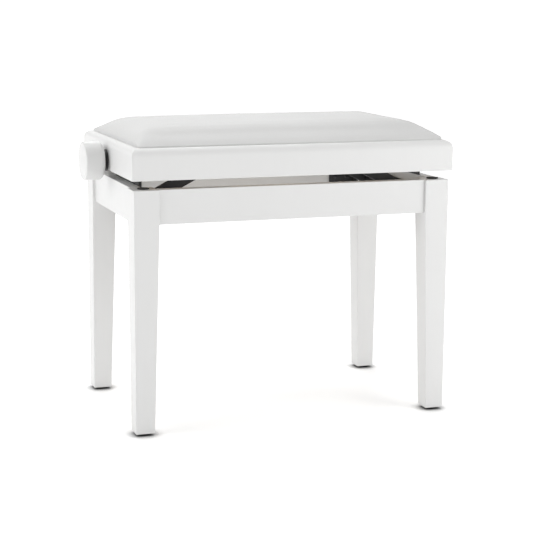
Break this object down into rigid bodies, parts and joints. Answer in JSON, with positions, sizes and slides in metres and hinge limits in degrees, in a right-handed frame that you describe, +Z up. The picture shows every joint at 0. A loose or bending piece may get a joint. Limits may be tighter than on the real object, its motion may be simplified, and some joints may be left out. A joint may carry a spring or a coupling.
{
  "type": "adjustable piano bench",
  "caption": "White height-adjustable piano bench with tapered legs, a padded seat, and a side knob that raises it on swing arms.",
  "frame": {"origin": "on the floor, under the middle of the bounding box with the knob included", "axes": "+X along the bench away from the knob, +Y from the front to the rear, +Z up"},
  "size_m": [0.592, 0.347, 0.4975],
  "materials": {
    "white_lacquer": "satin white lacquer",
    "white_leatherette": "matt white imitation leather",
    "black_steel": "satin black powder coat",
    "zinc_steel": "bright zinc plate",
    "black_rubber": "matt",
    "black_nylon": "matt",
    "beech": "bare beech",
    "plywood": "bare plywood",
    "foam": "upholstery foam"
  },
  "bodies": {
    "base_frame": {"leg_front_left": "white_lacquer", "leg_front_right": "white_lacquer", "leg_rear_left": "white_lacquer", "leg_rear_right": "white_lacquer", "apron_front": "white_lacquer", "apron_rear": "white_lacquer", "apron_left": "white_lacquer", "apron_right": "white_lacquer", "joint_dowels": "beech", "corner_braces": "black_steel", "corner_brace_screws": "black_steel", "foot_glides": "zinc_steel", "bumper_pads": "black_rubber", "base_bracket_left": "black_steel", "base_bracket_right": "black_steel", "base_bracket_screws": "zinc_steel", "pivot_rod_left": "zinc_steel", "pivot_rod_right": "zinc_steel", "rod_clips": "zinc_steel"},
    "seat_unit": {"seat_rail_front": "white_lacquer", "seat_rail_rear": "white_lacquer", "seat_rail_left": "white_lacquer", "seat_rail_right": "white_lacquer", "corner_blocks": "beech", "block_screws": "zinc_steel", "seat_board": "plywood", "cushion_foam": "foam", "cushion_cover": "white_leatherette", "end_plate_left": "black_steel", "end_plate_right": "black_steel", "end_plate_screws": "zinc_steel", "slide_strips": "black_nylon", "spindle_bush_left": "black_nylon", "spindle_bush_right": "zinc_steel"},
    "knob_spindle": {"spindle": "zinc_steel", "thrust_collar": "zinc_steel", "collar_screw": "black_steel", "retaining_ring": "zinc_steel", "knob": "white_lacquer", "knob_insert": "zinc_steel"},
    "left_carriage": {"carriage_left": "black_steel", "nut_left": "zinc_steel"},
    "right_carriage": {"carriage_right": "black_steel", "nut_right": "zinc_steel"},
    "left_arms": {"arm_front_left": "black_steel", "arm_rear_left": "black_steel", "pivot_tube_left": "black_steel", "arm_rivets_left": "zinc_steel"},
    "right_arms": {"arm_front_right": "black_steel", "arm_rear_right": "black_steel", "pivot_tube_right": "black_steel", "arm_rivets_right": "zinc_steel"}
  },
  "joints": [
    {"name": "seat_lift", "type": "slide", "parent": "base_frame", "child": "seat_unit", "axis": [0, 0, 1], "range_m": [-0.013, 0.06]},
    {"name": "knob_turn", "type": "hinge", "parent": "seat_unit", "child": "knob_spindle", "pos_m": [0.021, 0, 0.4295], "axis": [-1, 0, 0], "range_deg": [-501, 2309]},
    {"name": "left_carriage_slide", "type": "slide", "parent": "seat_unit", "child": "left_carriage", "axis": [-1, 0, 0], "range_m": [-0.0112, 0.0514]},
    {"name": "right_carriage_slide", "type": "slide", "parent": "seat_unit", "child": "right_carriage", "axis": [1, 0, 0], "range_m": [-0.0112, 0.0514]},
    {"name": "left_arms_swing", "type": "hinge", "parent": "base_frame", "child": "left_arms", "pos_m": [-0.213, 0, 0.3704], "axis": [0, -1, 0], "range_deg": [-6.3, 28.7]},
    {"name": "right_arms_swing", "type": "hinge", "parent": "base_frame", "child": "right_arms", "pos_m": [0.255, 0, 0.3704], "axis": [0, 1, 0], "range_deg": [-6.3, 28.7]}
  ],
  "couplings": [
    {"joint": "knob_turn", "follows": "seat_lift", "rad_per_m": 671.12},
    {"joint": "left_carriage_slide", "follows": "seat_lift", "ratio": 0.8545},
    {"joint": "right_carriage_slide", "follows": "seat_lift", "ratio": 0.8545},
    {"joint": "left_arms_swing", "follows": "seat_lift", "rad_per_m": 8.2996},
    {"joint": "right_arms_swing", "follows": "seat_lift", "rad_per_m": 8.2996}
  ]
}
